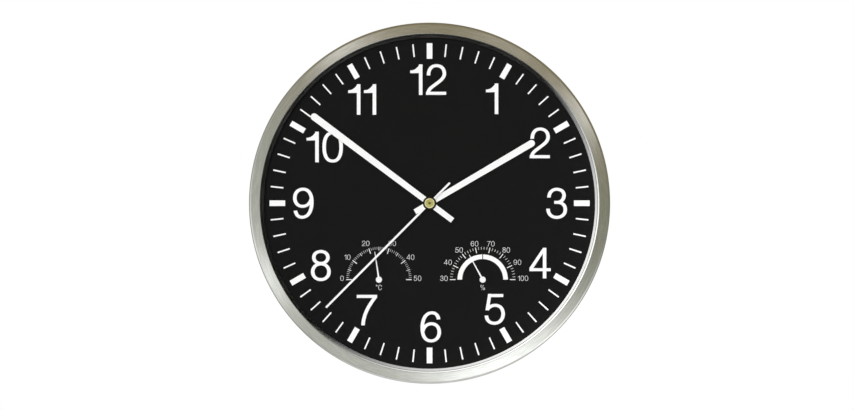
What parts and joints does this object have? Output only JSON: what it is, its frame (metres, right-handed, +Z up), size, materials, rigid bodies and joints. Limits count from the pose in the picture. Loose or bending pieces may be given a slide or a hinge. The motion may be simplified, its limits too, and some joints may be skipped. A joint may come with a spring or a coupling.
{
  "type": "wall clock",
  "caption": "Round quartz wall clock with a brushed metal rim, black dial, white hands and numerals, and small thermometer and hygrometer gauges low in the dial.",
  "frame": {"origin": "the nail that the clock hangs from, on the wall plane", "axes": "+Z up, the dial faces -Y, the wall is the plane y = 0"},
  "size_m": [0.3, 0.0398, 0.3],
  "materials": {
    "brushed_rim": "brushed around the rim",
    "black_rubber": "matte",
    "clear_glass": "clear float glass",
    "bright_ring": "bright metallised",
    "dial_black": "matte black print",
    "black_plastic": "fine texture",
    "dark_plastic": "smooth",
    "white_plastic": "smooth",
    "brass": "polished",
    "magnet": "sintered",
    "steel": "plain",
    "copper_wire": "enamelled",
    "board_green": "solder mask",
    "knob_plastic": "smooth",
    "battery_sleeve": "printed sleeve, plain",
    "hand_white": "satin white",
    "bimetal": "plain strip"
  },
  "bodies": {
    "case": {"bezel_ring": "brushed_rim", "glass_seal": "black_rubber", "front_glass": "clear_glass", "spacer_ring": "bright_ring", "dial_plate": "dial_black", "back_cover": "black_plastic", "movement_case": "dark_plastic", "movement_cover": "dark_plastic", "centre_bush": "brass", "rubber_washer": "black_rubber", "dial_washer": "brass", "fixing_nut": "brass", "stator": "steel", "coil_core": "steel", "coil_bobbin": "white_plastic", "drive_coil": "copper_wire", "circuit_board": "board_green", "chip_cover": "black_plastic", "quartz_crystal": "steel", "battery": "battery_sleeve", "positive_contact": "steel", "negative_contact": "steel", "thermometer_case": "dark_plastic", "thermometer_coil": "bimetal", "hygrometer_case": "dark_plastic", "hygrometer_coil": "bimetal"},
    "hour": {"hour_wheel": "white_plastic", "hour_hand": "hand_white"},
    "minute": {"minute_wheel": "white_plastic", "minute_hand": "hand_white"},
    "second": {"second_wheel": "white_plastic", "hub_collar": "black_plastic", "second_hand": "hand_white", "centre_cap": "brass"},
    "third": {"third_wheel": "white_plastic"},
    "reduction": {"reduction_wheel": "white_plastic"},
    "rotor": {"rotor_pinion": "white_plastic", "rotor_magnet": "magnet"},
    "setting": {"setting_wheel": "white_plastic", "setting_knob": "knob_plastic"},
    "thermometer": {"thermometer_spindle": "brass", "thermometer_pointer": "hand_white"},
    "hygrometer": {"hygrometer_spindle": "brass", "hygrometer_pointer": "hand_white"}
  },
  "joints": [
    {"name": "minute_turn", "type": "hinge", "parent": "case", "child": "minute", "pos_m": [0, 0, -0.104], "axis": [0, 1, 0], "continuous": true},
    {"name": "hour_turn", "type": "hinge", "parent": "case", "child": "hour", "pos_m": [0, 0, -0.104], "axis": [0, 1, 0], "continuous": true},
    {"name": "second_turn", "type": "hinge", "parent": "case", "child": "second", "pos_m": [0, 0, -0.104], "axis": [0, 1, 0], "continuous": true},
    {"name": "third_turn", "type": "hinge", "parent": "case", "child": "third", "pos_m": [-0.00308, 0, -0.09554], "axis": [0, 1, 0], "continuous": true},
    {"name": "reduction_turn", "type": "hinge", "parent": "case", "child": "reduction", "pos_m": [0.0072, 0, -0.104], "axis": [0, 1, 0], "continuous": true},
    {"name": "rotor_turn", "type": "hinge", "parent": "case", "child": "rotor", "pos_m": [0.01416, 0, -0.104], "axis": [0, 1, 0], "continuous": true},
    {"name": "setting_turn", "type": "hinge", "parent": "case", "child": "setting", "pos_m": [-0.00954, 0, -0.104], "axis": [0, 1, 0], "continuous": true},
    {"name": "thermometer_pointer_turn", "type": "hinge", "parent": "case", "child": "thermometer", "pos_m": [-0.0424, 0, -0.168], "axis": [0, 1, 0], "range_deg": [-81.5, 98.5], "stiffness_Nm_per_rad": 0.0002, "deforming": ["thermometer_coil"]},
    {"name": "hygrometer_pointer_turn", "type": "hinge", "parent": "case", "child": "hygrometer", "pos_m": [0.0445, 0, -0.168], "axis": [0, 1, 0], "range_deg": [-61.4, 118.6], "stiffness_Nm_per_rad": 0.0002, "deforming": ["hygrometer_coil"]}
  ],
  "couplings": [
    {"joint": "hour_turn", "follows": "minute_turn", "ratio": 0.083333},
    {"joint": "second_turn", "follows": "minute_turn", "ratio": 60},
    {"joint": "third_turn", "follows": "minute_turn", "ratio": -8},
    {"joint": "reduction_turn", "follows": "minute_turn", "ratio": -300},
    {"joint": "rotor_turn", "follows": "minute_turn", "ratio": 1800},
    {"joint": "setting_turn", "follows": "minute_turn", "ratio": -0.33333}
  ]
}
